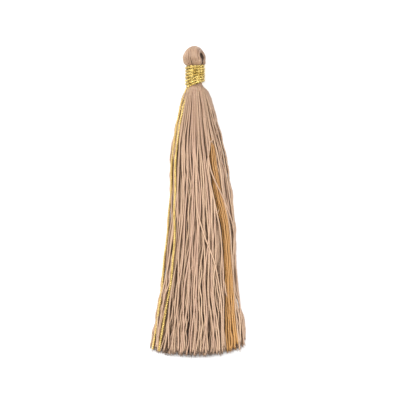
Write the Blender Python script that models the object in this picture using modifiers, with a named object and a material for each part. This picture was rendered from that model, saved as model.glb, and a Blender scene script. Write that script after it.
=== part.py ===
import math
from collections import namedtuple

import bmesh
import bpy
import numpy as np

# All sizes are in millimetres, and MM turns them into metres
MM = 0.001

# The tassel lies on its side: +Y toward the head, +Z up, the floor at zero
AXIS_X = -0.65
AXIS_Z = 2.95

# Gap kept between two pieces
CLEARANCE = 0.33

# Binding: a sleeve with a ridge for each turn of the thread
BINDING_TOP = 34.98
BINDING_HEIGHT = 5.25
BINDING_TURNS = 7
BINDING_INNER_RADIUS = 2.03
BINDING_CREST_RADIUS = 2.62
BINDING_VALLEY_RADIUS = 2.38
BINDING_SLANT = 0.33
BINDING_SIDES = 24

# Head: a flat band of thread that goes up, over and down again
STUB_RADIUS = 1.70
STUB_END = 32.62
BAND_HALF_WIDTH = 2.74
BAND_HALF_THICKNESS = 0.92
BAND_RIDGES = 14
BAND_RIDGE_DEPTH = 0.07
BAND_CROWN = 1.15
BAND_TURN = math.radians(28)
BAND_SHIFT_X = -0.15
BAND_LIFT = 0.35

# One leg of the band, from inside the binding to where it starts to turn over
BandPoint = namedtuple("BandPoint", "off_axis height size")
BAND_LEG = (
    BandPoint(off_axis=0.60, height=-0.90, size=0.50),
    BandPoint(off_axis=0.68, height=0.20, size=0.60),
    BandPoint(off_axis=1.10, height=0.75, size=0.88),
    BandPoint(off_axis=1.38, height=1.50, size=1.00),
    BandPoint(off_axis=1.46, height=2.40, size=1.00),
)
BAND_TOP_RISE = 1.62
BAND_TOP_STEPS = 8

# Neck: the fused root of the skirt, inside and just below the binding
NECK_TOP = 31.97
NECK_SIDES = 24
NeckRing = namedtuple("NeckRing", "radius y")
NECK_RINGS = (
    NeckRing(radius=0.00, y=NECK_TOP),
    NeckRing(radius=STUB_RADIUS, y=NECK_TOP),
    NeckRing(radius=STUB_RADIUS, y=29.60),
    NeckRing(radius=2.15, y=29.25),
    NeckRing(radius=2.42, y=28.60),
    NeckRing(radius=2.25, y=27.90),
    NeckRing(radius=1.40, y=27.10),
    NeckRing(radius=0.00, y=26.80),
)

# Skirt
STRANDS = 118
OCHRE_STRANDS = 9
LOCK_FLATNESS = 1.8
STRAND_SPACING = 1.84
LEAST_SQUEEZE = 0.60
HEM_UNEVENNESS = 0.7
WANDER = 0.20
SETTLE_STEPS = 300
PUSH_RATE = 0.35
HOLD_BEIGE = 0.02
HOLD_COLOURED = 0.1
RANDOM_SEED = 13

# Root of the ochre lock
TAB_RADIUS = 0.55
TAB_REACH = 1.14
TAB_ANGLE = math.radians(38)

# Cross-sections of the heap of strands, from inside the binding to past the hem. Sag is 0 where the section
# is round and 1 where it lies flat on the floor. Strand is the radius of one strand there.
Section = namedtuple("Section", "y left right bottom top sag strand")
SECTIONS = (
    Section(y=31.0, left=-2.18, right=0.88, bottom=1.42, top=4.48, sag=0.00, strand=0.09),
    Section(y=29.9, left=-2.26, right=0.96, bottom=1.34, top=4.56, sag=0.00, strand=0.10),
    Section(y=28.6, left=-2.45, right=2.20, bottom=0.85, top=4.95, sag=0.00, strand=0.13),
    Section(y=27.4, left=-3.70, right=3.15, bottom=0.50, top=5.35, sag=0.05, strand=0.18),
    Section(y=25.6, left=-4.40, right=3.90, bottom=0.42, top=5.50, sag=0.20, strand=0.23),
    Section(y=20.8, left=-5.45, right=5.20, bottom=0.35, top=5.65, sag=0.50, strand=0.29),
    Section(y=13.5, left=-7.00, right=7.40, bottom=0.00, top=5.60, sag=0.95, strand=0.33),
    Section(y=3.0, left=-7.25, right=9.15, bottom=0.00, top=5.40, sag=1.00, strand=0.35),
    Section(y=-8.0, left=-8.15, right=10.10, bottom=0.00, top=5.10, sag=1.00, strand=0.36),
    Section(y=-19.0, left=-9.75, right=10.40, bottom=0.00, top=4.80, sag=1.00, strand=0.36),
    Section(y=-30.0, left=-11.60, right=12.30, bottom=0.00, top=4.40, sag=1.00, strand=0.36),
    Section(y=-41.0, left=-12.60, right=13.00, bottom=0.45, top=4.00, sag=1.00, strand=0.36),
)

SECTIONS_IN_BINDING = 3

# The patch of floor that the lowest strands lie on, by its edges at its two ends. Round it the strands hover,
# as the ends of threads curl up. Between the ends the patch is drawn in by a margin at each side.
PatchEnd = namedtuple("PatchEnd", "y left right")
PATCH_TOP = PatchEnd(y=13.5, left=-4.60, right=4.60)
PATCH_FOOT = PatchEnd(y=-30.0, left=-9.80, right=10.20)
PATCH_MARGIN = 0.50
HOVER = 0.32
RESTING_GAP = 0.03

# Where the hem ends, from the left edge to the right
HemPoint = namedtuple("HemPoint", "x y")
HEM = (
    HemPoint(x=-12.4, y=-38.1),
    HemPoint(x=-9.0, y=-39.2),
    HemPoint(x=-4.5, y=-39.8),
    HemPoint(x=1.9, y=-40.0),
    HemPoint(x=6.0, y=-39.4),
    HemPoint(x=9.9, y=-38.2),
    HemPoint(x=12.4, y=-36.8),
)

# Middle lines of the threads that keep their own colour, and how far under the top of the heap they run
Course = namedtuple("Course", "y gold_outer gold_inner ochre gold_depth ochre_depth")
COURSES = (
    Course(y=31.0, gold_outer=-2.64, gold_inner=-1.98, ochre=0.25, gold_depth=0.0, ochre_depth=0.6),
    Course(y=29.9, gold_outer=-2.62, gold_inner=-1.95, ochre=0.25, gold_depth=0.0, ochre_depth=0.6),
    Course(y=28.6, gold_outer=-2.90, gold_inner=-2.16, ochre=0.35, gold_depth=0.1, ochre_depth=0.8),
    Course(y=25.6, gold_outer=-3.95, gold_inner=-3.20, ochre=1.60, gold_depth=0.2, ochre_depth=1.2),
    Course(y=20.8, gold_outer=-4.95, gold_inner=-4.20, ochre=2.60, gold_depth=0.2, ochre_depth=1.1),
    Course(y=13.5, gold_outer=-6.30, gold_inner=-5.50, ochre=3.50, gold_depth=0.1, ochre_depth=0.7),
    Course(y=5.4, gold_outer=-6.75, gold_inner=-5.70, ochre=4.48, gold_depth=0.0, ochre_depth=0.6),
    Course(y=0.3, gold_outer=-7.00, gold_inner=-5.85, ochre=5.40, gold_depth=0.0, ochre_depth=0.6),
    Course(y=-7.5, gold_outer=-7.70, gold_inner=-5.95, ochre=7.05, gold_depth=0.0, ochre_depth=0.6),
    Course(y=-12.6, gold_outer=-8.20, gold_inner=-6.05, ochre=7.46, gold_depth=0.0, ochre_depth=0.6),
    Course(y=-19.0, gold_outer=-8.90, gold_inner=-6.70, ochre=7.88, gold_depth=0.0, ochre_depth=0.6),
    Course(y=-25.5, gold_outer=-9.50, gold_inner=-7.60, ochre=8.10, gold_depth=0.0, ochre_depth=0.6),
    Course(y=-33.0, gold_outer=-10.80, gold_inner=-9.10, ochre=8.44, gold_depth=0.0, ochre_depth=0.6),
    Course(y=-41.0, gold_outer=-11.80, gold_inner=-10.20, ochre=9.30, gold_depth=0.0, ochre_depth=0.6),
)

Finish = namedtuple("Finish", "name colour roughness metallic")
BEIGE_SILK = Finish("beige_silk", (0.64, 0.44, 0.30), 0.45, 0.0)
OCHRE_SILK = Finish("ochre_silk", (0.52, 0.30, 0.09), 0.45, 0.0)
GOLD_THREAD = Finish("gold_thread", (0.72, 0.49, 0.16), 0.32, 0.8)


def clear_scene():
    for old in list(bpy.data.objects):
        bpy.data.objects.remove(old)
    for old in list(bpy.data.collections):
        bpy.data.collections.remove(old)


def new_collection(name, hidden):
    made = bpy.data.collections.new(name)
    made.hide_render = hidden
    bpy.context.scene.collection.children.link(made)
    return made


def material_of(finish):
    made = bpy.data.materials.new(finish.name)
    made.use_nodes = True
    shader = made.node_tree.nodes["Principled BSDF"]
    shader.inputs["Base Color"].default_value = (*finish.colour, 1)
    shader.inputs["Roughness"].default_value = finish.roughness
    shader.inputs["Metallic"].default_value = finish.metallic
    return made


def add_object(name, data, collection):
    made = bpy.data.objects.new(name, data)
    collection.objects.link(made)
    if collection.hide_render:
        made.hide_render = True
        made.display_type = "WIRE"
    return made


def course_value(y, column):
    known = [(row.y, getattr(row, column)) for row in reversed(COURSES)]
    return float(np.interp(y, [k[0] for k in known], [k[1] for k in known]))


def hem_line(x):
    return np.interp(x, [point.x for point in HEM], [point.y for point in HEM])


def section_frame(section):
    """How a section maps to the unit disk: across between its edges, and up between its bottom and top."""
    middle = (section.left + section.right) / 2
    half_width = (section.right - section.left) / 2 - 0.87 * section.strand
    low = section.bottom + 0.5 * section.strand
    half_height = (section.top - section.strand - low) / 2
    return middle, half_width, low, half_height


def from_disk(section, disk):
    middle, half_width, low, half_height = section_frame(section)
    across = disk[:, 0]
    droop = section.sag * (1 - np.sqrt(np.clip(1 - across**2, 0, 1)))
    height = low + half_height * (disk[:, 1] + 1 - droop)
    return np.stack([middle + half_width * across, height], axis=1)


def to_disk(section, place):
    middle, half_width, low, half_height = section_frame(section)
    across = (place[:, 0] - middle) / half_width
    droop = section.sag * (1 - np.sqrt(np.clip(1 - across**2, 0, 1)))
    return np.stack([across, (place[:, 1] - low) / half_height - 1 + droop], axis=1)


def over_patch(section, x):
    """True where a strand with its middle at this x can lie on the floor."""
    share = (PATCH_TOP.y - section.y) / (PATCH_TOP.y - PATCH_FOOT.y)
    if share < 0 or share > 1:
        return np.zeros(len(x), bool)
    margin = 0.87 * section.strand + (PATCH_MARGIN if 0 < share < 1 else 0)
    left = PATCH_TOP.left + share * (PATCH_FOOT.left - PATCH_TOP.left) + margin
    right = PATCH_TOP.right + share * (PATCH_FOOT.right - PATCH_TOP.right) - margin
    return (x > left) & (x < right)


def keep_inside(section, place):
    disk = to_disk(section, place)
    reach = np.linalg.norm(disk, axis=1, keepdims=True)
    inside = np.where(reach > 1, from_disk(section, disk / np.maximum(reach, 1)), place)
    hover = np.where(over_patch(section, inside[:, 0]), 0, HOVER)
    inside[:, 1] = np.maximum(inside[:, 1], np.maximum(section.bottom, hover) + 0.5 * section.strand)
    return inside


def heap_top(section, x):
    """Height of the top of the heap over this point."""
    middle, half_width, low, half_height = section_frame(section)
    across = np.clip((x - middle) / half_width, -1, 1)
    rise = np.sqrt(1 - across**2)
    return low + half_height * (rise + 1 - section.sag * (1 - rise))


def sunflower(count):
    """Points spread evenly over the unit disk."""
    number = np.arange(count) + 0.5
    reach = np.sqrt(number / count)
    turn = number * math.pi * (3 - math.sqrt(5))
    return np.stack([reach * np.cos(turn), reach * np.sin(turn)], axis=1)


def tab_centre():
    return (AXIS_X + TAB_REACH * math.cos(TAB_ANGLE), AXIS_Z + TAB_REACH * math.sin(TAB_ANGLE))


def strand_homes(chance):
    """Where each strand would run if it were alone: beige, then ochre, then the two gold ends."""
    spread = sunflower(STRANDS)
    drift = chance.normal(0, 1, (STRANDS, 2))
    bundle = sunflower(OCHRE_STRANDS)
    homes = []
    for number, section in enumerate(SECTIONS):
        along = number / (len(SECTIONS) - 1)
        turn = math.sin(2 * math.pi * along) * WANDER
        beige = from_disk(section, spread) + drift * turn
        centre = np.array([course_value(section.y, "ochre"), 0])
        centre[1] = heap_top(section, centre[0]) - course_value(section.y, "ochre_depth")
        size = 0.9 * STRAND_SPACING * section.strand * math.sqrt(OCHRE_STRANDS) / 2
        if number < SECTIONS_IN_BINDING:
            centre = np.array(tab_centre())
            size = TAB_RADIUS - 1.5 * section.strand
        flatness = np.interp(number, (7, 11), (1.0, LOCK_FLATNESS))
        shape = size * np.array([flatness, 1 / flatness])
        ochre = centre + bundle * shape
        away = (beige - centre) / shape
        reach = np.linalg.norm(away, axis=1, keepdims=True)
        room = 1.15 + CLEARANCE / size
        beige = centre + away * shape * np.sqrt(reach**2 + room**2) / reach
        gold = []
        for name in ("gold_outer", "gold_inner"):
            x = course_value(section.y, name)
            z = heap_top(section, x) - course_value(section.y, "gold_depth")
            if number < SECTIONS_IN_BINDING:
                reach = BINDING_INNER_RADIUS + (0.24 if number < 2 else 0.55)
                z = AXIS_Z + math.sqrt(max(reach**2 - (x - AXIS_X) ** 2, 0))
            gold.append((x, z))
        homes.append(np.concatenate([keep_inside(section, beige), ochre, gold]))
    return np.array(homes)


def strand_kinds():
    """0 for beige, 1 for ochre, 2 and 3 for the gold ends, and which pairs belong to two nodes."""
    kind = np.array([0] * STRANDS + [1] * OCHRE_STRANDS + [2, 3])
    two_nodes = (kind[:, None] != kind[None]) & ((kind[:, None] < 2) | (kind[None] < 2))
    return kind, two_nodes


def meetings(place):
    """Where each pair of strands comes closest, as a share of the stretch, and the way from one to the other
    there. It is given for each section, and then for the stretch from it to the next."""
    last = len(SECTIONS) - 1
    for number in range(last + 1):
        start = place[number][:, None] - place[number][None]
        yield number, number, np.zeros(start.shape[:2]), start
        if number < last:
            travel = place[number + 1][:, None] - place[number + 1][None] - start
            length = (travel**2).sum(-1)
            share = np.clip(-(start * travel).sum(-1) / np.maximum(length, 1e-9), 0, 1)
            yield number, number + 1, share, start + share[..., None] * travel


def length_of(way):
    return np.sqrt((way**2).sum(-1)) + np.eye(len(way)) * 99


def settle(homes):
    """Moves the strands apart until none touches another, at the sections and between them."""
    kind, two_nodes = strand_kinds()
    beige = kind == 0
    freedom = np.where(beige, 1.0, np.where(kind == 1, 0.25, 0.05))
    yields = (2 * freedom[:, None] / (freedom[:, None] + freedom[None]))[..., None]
    hold = np.where(beige, HOLD_BEIGE, HOLD_COLOURED)[:, None]
    apart = np.where(two_nodes, CLEARANCE + 0.03, 0)
    need = [STRAND_SPACING * section.strand + apart for section in SECTIONS]
    tab = np.array(tab_centre())
    place = homes.copy()
    for step in range(SETTLE_STEPS):
        shift = np.zeros_like(place)
        for number, following, share, way in meetings(place):
            distance = length_of(way)
            lack = np.clip((1 - share) * need[number] + share * need[following] - distance, 0, None)
            push = yields * way * (0.5 * lack / np.maximum(distance, 1e-6))[..., None]
            shift[number] += ((1 - share)[..., None] * push).sum(1)
            shift[following] += (share[..., None] * push).sum(1)
        pull = hold * max(0, 1 - 1.4 * step / SETTLE_STEPS)
        place += PUSH_RATE * shift + pull * (homes - place)
        for number, section in enumerate(SECTIONS):
            if number <= SECTIONS_IN_BINDING:
                away = place[number, beige] - tab
                gap = np.linalg.norm(away, axis=1, keepdims=True)
                least = TAB_RADIUS + CLEARANCE + section.strand
                place[number, beige] = tab + away * np.maximum(gap, least) / np.maximum(gap, 1e-6)
            if number < SECTIONS_IN_BINDING:
                place[number, ~beige] = homes[number, ~beige]
                place[number, beige] = keep_inside(section, place[number, beige])
            else:
                place[number] = keep_inside(section, place[number])
    return place


def squeezed(place):
    """Radius of each strand at each section, thinner where it is pressed, and which strands stay."""
    kind, two_nodes = strand_kinds()
    apart = np.where(two_nodes, CLEARANCE, 0)
    rows = []
    for number, following, share, way in meetings(place):
        thick = (1 - share) * SECTIONS[number].strand + share * SECTIONS[following].strand
        wanted = STRAND_SPACING * thick
        rows.append((number, following, np.clip((length_of(way) - apart) / wanted, 0, 1)))
    tightest = np.min([squeeze for _, _, squeeze in rows], axis=0)
    stays = np.ones(len(kind), bool)
    while True:
        crossed = ((tightest < LEAST_SQUEEZE) & stays[:, None] & stays[None]).sum(1) * (kind == 0)
        if crossed.max() == 0:
            break
        stays[crossed.argmax()] = False
    radius = np.array([np.full(len(kind), section.strand) for section in SECTIONS])
    for number, following, squeeze in rows:
        least = np.where(stays[None], squeeze, 1).min(axis=1)
        for row in (number, following):
            radius[row] = np.minimum(radius[row], least * SECTIONS[row].strand)
    return radius, stays


def lay_flat(place, radius):
    """Brings the undersides of the lowest strands onto the floor, also where a strand is pressed thinner."""
    for number, section in enumerate(SECTIONS):
        lowest = section_frame(section)[2]
        resting = over_patch(section, place[number, :, 0]) & (place[number, :, 1] < lowest + RESTING_GAP)
        place[number, resting, 1] = radius[number, resting] / 2


def strand_mesh(name, paths, collection):
    """Three-sided strands as one mesh. Each is a loft between triangles of unlike size that stand upright
    across the tassel, so a strand lies flat on its underside."""
    corners = [(math.cos(math.radians(turn)), math.sin(math.radians(turn))) for turn in (90, 210, 330)]
    points = []
    faces = []
    for path in paths:
        first = len(points)
        for x, y, z, radius in path:
            points += [((x + radius * a) * MM, y * MM, (z + radius * b) * MM) for a, b in corners]
        for row in range(len(path) - 1):
            for side in range(3):
                low = first + 3 * row + side
                high = first + 3 * row + (side + 1) % 3
                faces.append((low, high, high + 3, low + 3))
        end = first + 3 * (len(path) - 1)
        faces += [(first + 2, first + 1, first), (end, end + 1, end + 2)]
    mesh = bpy.data.meshes.new(name)
    mesh.from_pydata(points, [], faces)
    shape = bmesh.new()
    shape.from_mesh(mesh)
    if shape.calc_volume(signed=True) < 0:
        bmesh.ops.reverse_faces(shape, faces=shape.faces)
    shape.to_mesh(mesh)
    shape.free()
    return add_object(name, mesh, collection)


def round_profile(name, corners, collection):
    """A closed profile of radius one, turning the way that faces a swept tube outward."""
    curve = bpy.data.curves.new(name, "CURVE")
    curve.dimensions = "2D"
    spline = curve.splines.new("POLY")
    spline.points.add(corners - 1)
    for number, point in enumerate(spline.points):
        angle = -2 * math.pi * (number + 0.5) / corners
        point.co = (math.cos(angle) * MM, math.sin(angle) * MM, 0, 1)
    spline.use_cyclic_u = True
    return add_object(name, curve, collection)


def swept(name, paths, profile, collection):
    """One mesh of a profile swept along each path. A path is a list of points (x, y, z, radius)."""
    curve = bpy.data.curves.new(name, "CURVE")
    curve.dimensions = "3D"
    curve.twist_mode = "Z_UP"
    curve.bevel_mode = "OBJECT"
    curve.bevel_object = profile
    curve.use_fill_caps = True
    for path in paths:
        spline = curve.splines.new("POLY")
        spline.points.add(len(path) - 1)
        for point, (x, y, z, radius) in zip(spline.points, path):
            point.co = (x * MM, y * MM, z * MM, 1)
            point.radius = radius
    guide = add_object(name + "_guide", curve, collection)
    graph = bpy.context.evaluated_depsgraph_get()
    mesh = bpy.data.meshes.new_from_object(guide.evaluated_get(graph))
    bpy.data.objects.remove(guide)
    shape = bmesh.new()
    shape.from_mesh(mesh)
    bmesh.ops.remove_doubles(shape, verts=shape.verts, dist=1e-6)
    bmesh.ops.triangulate(shape, faces=shape.faces)
    if shape.calc_volume(signed=True) < 0:
        bmesh.ops.reverse_faces(shape, faces=shape.faces)
    shape.to_mesh(mesh)
    shape.free()
    return add_object(name, mesh, collection)


def revolved(name, profile, sides, collection):
    """A ring or a solid from (radius, y) points, turned round the tassel's axis by a Screw modifier."""
    mesh = bpy.data.meshes.new(name)
    closed = profile[0][0] > 1e-6
    edges = [(i, i + 1) for i in range(len(profile) - 1)]
    if closed:
        edges.append((len(profile) - 1, 0))
    mesh.from_pydata([(radius * MM, y * MM, 0) for radius, y in profile], edges, [])
    made = add_object(name, mesh, collection)
    screw = made.modifiers.new("turn", "SCREW")
    screw.axis = "Y"
    screw.steps = sides
    screw.render_steps = sides
    screw.use_merge_vertices = True
    screw.merge_threshold = 1e-6
    apply_modifiers(made)
    shape = bmesh.new()
    shape.from_mesh(made.data)
    bmesh.ops.remove_doubles(shape, verts=shape.verts, dist=1e-6)
    bmesh.ops.recalc_face_normals(shape, faces=shape.faces)
    if shape.calc_volume(signed=True) < 0:
        bmesh.ops.reverse_faces(shape, faces=shape.faces)
    shape.to_mesh(made.data)
    shape.free()
    return made


def apply_modifiers(thing):
    graph = bpy.context.evaluated_depsgraph_get()
    mesh = bpy.data.meshes.new_from_object(thing.evaluated_get(graph))
    thing.modifiers.clear()
    thing.data = mesh


def boolean(thing, tool, operation):
    step = thing.modifiers.new(operation.lower(), "BOOLEAN")
    step.operation = operation
    step.solver = "EXACT"
    step.object = tool
    apply_modifiers(thing)


def moved(thing, change):
    """Changes every point of a mesh, given and returned in millimetres."""
    for vertex in thing.data.vertices:
        x, y, z = (value / MM for value in vertex.co)
        vertex.co = [value * MM for value in change(x, y, z)]


def slanted_about_axis(x, y, z):
    """Puts a revolved shape on the tassel's axis. It drops to the left, the more the further down."""
    share = np.clip((BINDING_TOP - y) / BINDING_HEIGHT, 0, 1)
    return x + AXIS_X, y + BINDING_SLANT * x * share, z + AXIS_Z


def make_binding(parts, guides, ends):
    pitch = BINDING_HEIGHT / BINDING_TURNS
    bottom = BINDING_TOP - BINDING_HEIGHT
    outline = [(BINDING_INNER_RADIUS, BINDING_TOP), (BINDING_INNER_RADIUS, bottom)]
    for turn in range(BINDING_TURNS):
        outline.append((BINDING_VALLEY_RADIUS, bottom + pitch * turn))
        outline.append((BINDING_CREST_RADIUS, bottom + pitch * (turn + 0.3)))
        outline.append((BINDING_CREST_RADIUS, bottom + pitch * (turn + 0.7)))
    outline.append((BINDING_VALLEY_RADIUS, BINDING_TOP))
    sleeve = revolved("binding", outline, BINDING_SIDES, parts)
    moved(sleeve, slanted_about_axis)
    boolean(sleeve, strand_mesh("gold_ends", ends, guides), "UNION")
    return sleeve


def loop_path():
    """Middle of the band as (off the axis, height over the binding, size), up, over and down again."""
    leg = [(point.off_axis, point.height, point.size) for point in BAND_LEG]
    width, foot, _ = leg[-1]
    over = []
    for number in range(1, BAND_TOP_STEPS):
        angle = math.pi * number / BAND_TOP_STEPS
        over.append((width * math.cos(angle), foot + 0.05 + BAND_TOP_RISE * math.sin(angle), 1.0))
    return leg + over + [(-off_axis, height, size) for off_axis, height, size in reversed(leg)]


def make_head(parts, guides):
    corners = 2 * BAND_RIDGES
    curve = bpy.data.curves.new("band_profile", "CURVE")
    curve.dimensions = "2D"
    spline = curve.splines.new("POLY")
    spline.points.add(corners - 1)
    for number, point in enumerate(spline.points):
        angle = 2 * math.pi * (number + 0.5) / corners
        ridge = BAND_RIDGE_DEPTH * (1 if number % 2 else -1)
        across = (BAND_HALF_WIDTH + ridge) * math.copysign(abs(math.cos(angle)) ** 0.85, math.cos(angle))
        through = (BAND_HALF_THICKNESS + ridge) * math.copysign(abs(math.sin(angle)) ** 0.7, math.sin(angle))
        point.co = (through * MM, across * MM, 0, 1)
    spline.use_cyclic_u = True
    profile = add_object("band_profile", curve, guides)
    path = [(off_axis, BINDING_TOP + height, 0, size) for off_axis, height, size in loop_path()]
    head = swept("head_loop", [path], profile, parts)
    stub = revolved("head_stub", [(0, STUB_END), (STUB_RADIUS, STUB_END), (STUB_RADIUS, BINDING_TOP + 0.25),
                                  (1.0, BINDING_TOP + 0.75), (0, BINDING_TOP + 0.8)], NECK_SIDES, guides)
    boolean(head, stub, "UNION")
    turn = (math.cos(BAND_TURN), math.sin(BAND_TURN))

    def lay_down(x, y, z):
        top = np.clip((y - BINDING_TOP - 1.0) / 3.0, 0, 1)
        drop = BAND_CROWN * top * (z / BAND_HALF_WIDTH) ** 2
        through, across = x, -z
        out = np.clip(y - BINDING_TOP, 0, 1)
        return (AXIS_X + BAND_SHIFT_X * out + across * turn[0] - through * turn[1], y - drop,
                AXIS_Z + BAND_LIFT * out + across * turn[1] + through * turn[0])

    moved(head, lay_down)
    return head


def make_neck(parts):
    outline = [(ring.radius, ring.y) for ring in NECK_RINGS]
    neck = revolved("skirt", outline, NECK_SIDES, parts)
    moved(neck, slanted_about_axis)
    return neck


def strand_paths(place, radius, chance):
    """Paths of all strands, each cut off at the hem."""
    paths = []
    before, last = SECTIONS[-2:]
    for number in range(place.shape[1]):
        path = [(place[row, number, 0], section.y, place[row, number, 1], radius[row, number])
                for row, section in enumerate(SECTIONS[:-1])]
        end = float(hem_line(place[-1, number, 0])) + chance.random() * HEM_UNEVENNESS
        share = (before.y - end) / (before.y - last.y)
        x, z = place[-2, number] * (1 - share) + place[-1, number] * share
        thick = radius[-2, number] * (1 - share) + radius[-1, number] * share
        path.append((x, end, z, thick))
        paths.append([tuple(float(value) for value in point) for point in path])
    return paths


def set_finish(thing, finish, smooth):
    thing.data.materials.clear()
    thing.data.materials.append(material_of(finish))
    for face in thing.data.polygons:
        face.use_smooth = smooth


def build():
    clear_scene()
    parts = new_collection("silk_tassel", False)
    guides = new_collection("cutters", True)
    chance = np.random.default_rng(RANDOM_SEED)
    homes = strand_homes(chance)
    place = settle(homes)
    radius, stays = squeezed(place)
    lay_flat(place, radius)
    paths = strand_paths(place, radius, chance)
    beige = [path for path, stay in zip(paths[:STRANDS], stays) if stay]
    print("strands in the skirt:", len(beige))
    ochre = paths[STRANDS:STRANDS + OCHRE_STRANDS]
    gold = paths[STRANDS + OCHRE_STRANDS:]
    tube = round_profile("tube_profile", 8, guides)

    head = make_head(parts, guides)
    set_finish(head, BEIGE_SILK, True)

    binding = make_binding(parts, guides, gold)
    set_finish(binding, GOLD_THREAD, True)

    tab_x, tab_z = tab_centre()
    follow = np.mean([path[SECTIONS_IN_BINDING] for path in ochre], axis=0)
    tab_path = [(tab_x, NECK_TOP, tab_z, TAB_RADIUS), (tab_x, 28.7, tab_z, TAB_RADIUS),
                (0.5 * (tab_x + follow[0]), 28.1, 0.5 * (tab_z + follow[2]), 0.8 * TAB_RADIUS)]
    lock = swept("ochre_lock", [tab_path], tube, parts)
    boolean(lock, strand_mesh("ochre_strands", ochre, guides), "UNION")
    set_finish(lock, OCHRE_SILK, False)

    skirt = make_neck(parts)
    room = TAB_RADIUS + CLEARANCE
    groove = [(tab_x, NECK_TOP + 0.6, tab_z, room), (tab_x, 28.9, tab_z, room),
              (follow[0], follow[1], follow[2], room + 0.25),
              (2 * follow[0] - tab_x, 2 * follow[1] - 28.9, 2 * follow[2] - tab_z, room + 0.5)]
    boolean(skirt, swept("lock_groove", [groove], tube, guides), "DIFFERENCE")
    for end in gold:
        room_path = [(x, y, z, radius + CLEARANCE) for x, y, z, radius in end[:5]]
        boolean(skirt, swept("gold_groove", [room_path], tube, guides), "DIFFERENCE")
    boolean(skirt, strand_mesh("beige_strands", beige, guides), "UNION")
    set_finish(skirt, BEIGE_SILK, False)

    bpy.context.view_layer.update()
    nodes = (head, binding, lock, skirt)
    floor = min(vertex.co.z for node in nodes for vertex in node.data.vertices)
    for node in nodes:
        for vertex in node.data.vertices:
            vertex.co.z -= floor


build()
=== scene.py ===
# %% [markdown]
# # A silk tassel
#
# A tassel is a hank of silk thread that is folded in two, bound under the fold and cut at its other end.
# This lesson dresses the solid model of one. It keeps the places and sizes of the model and builds each
# thread that can be seen as a tube of its own.

import math
from collections import namedtuple

import bpy
import numpy as np
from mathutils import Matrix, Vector


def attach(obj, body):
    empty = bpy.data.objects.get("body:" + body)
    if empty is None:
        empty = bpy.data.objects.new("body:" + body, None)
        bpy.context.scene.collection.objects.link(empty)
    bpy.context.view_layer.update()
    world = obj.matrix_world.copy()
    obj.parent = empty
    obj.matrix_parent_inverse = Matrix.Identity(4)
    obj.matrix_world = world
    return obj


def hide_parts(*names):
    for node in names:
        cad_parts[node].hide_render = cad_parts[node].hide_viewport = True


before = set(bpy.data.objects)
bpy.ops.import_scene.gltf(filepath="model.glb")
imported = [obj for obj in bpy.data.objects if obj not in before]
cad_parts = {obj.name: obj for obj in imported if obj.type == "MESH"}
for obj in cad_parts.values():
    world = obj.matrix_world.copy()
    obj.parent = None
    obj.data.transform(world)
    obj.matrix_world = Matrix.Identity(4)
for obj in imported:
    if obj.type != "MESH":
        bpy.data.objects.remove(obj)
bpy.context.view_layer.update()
root = "root"
print("solid model:", sorted(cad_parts))

# %% [markdown]
# All sizes are in millimetres, as a maker would measure them with callipers, and MM turns them into
# metres. The tassel lies on its side with the head toward +Y. The skirt is described by its
# cross-sections: how wide and how high the heap of threads is there, how far it has sagged onto the
# table, how much room one thread takes and how thick it looks.

# %% Sizes of the tassel
MM = 0.001
AXIS_X = -0.65
AXIS_Z = 2.95

Section = namedtuple("Section", "y left right bottom top sag room thick")
SECTIONS = (
    Section(y=31.5, left=-2.40, right=1.10, bottom=1.20, top=4.70, sag=0.00, room=0.10, thick=0.15),
    Section(y=29.6, left=-2.55, right=1.35, bottom=1.10, top=4.80, sag=0.00, room=0.11, thick=0.17),
    Section(y=28.4, left=-3.20, right=2.60, bottom=0.70, top=5.20, sag=0.00, room=0.15, thick=0.20),
    Section(y=27.0, left=-3.95, right=3.35, bottom=0.40, top=5.40, sag=0.10, room=0.18, thick=0.22),
    Section(y=25.0, left=-4.50, right=4.10, bottom=0.25, top=5.50, sag=0.25, room=0.20, thick=0.21),
    Section(y=20.8, left=-5.45, right=5.20, bottom=0.15, top=5.60, sag=0.50, room=0.23, thick=0.22),
    Section(y=15.0, left=-6.80, right=6.90, bottom=0.00, top=5.65, sag=0.80, room=0.26, thick=0.22),
    Section(y=9.0, left=-7.30, right=8.30, bottom=0.00, top=5.55, sag=0.95, room=0.28, thick=0.225),
    Section(y=2.0, left=-7.30, right=9.25, bottom=0.00, top=5.40, sag=1.00, room=0.29, thick=0.235),
    Section(y=-6.0, left=-8.00, right=10.05, bottom=0.00, top=5.15, sag=1.00, room=0.29, thick=0.235),
    Section(y=-14.0, left=-9.00, right=10.35, bottom=0.00, top=4.90, sag=1.00, room=0.29, thick=0.235),
    Section(y=-22.0, left=-10.10, right=10.70, bottom=0.00, top=4.65, sag=1.00, room=0.29, thick=0.235),
    Section(y=-30.0, left=-11.60, right=12.40, bottom=0.00, top=4.40, sag=1.00, room=0.29, thick=0.235),
    Section(y=-41.0, left=-13.30, right=13.40, bottom=0.00, top=4.00, sag=1.00, room=0.29, thick=0.235),
)

HemPoint = namedtuple("HemPoint", "x y")
HEM = (
    HemPoint(x=-12.8, y=-38.0),
    HemPoint(x=-9.0, y=-39.2),
    HemPoint(x=-4.5, y=-39.55),
    HemPoint(x=1.9, y=-39.75),
    HemPoint(x=6.0, y=-39.2),
    HemPoint(x=9.9, y=-38.2),
    HemPoint(x=12.9, y=-37.0),
)

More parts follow.
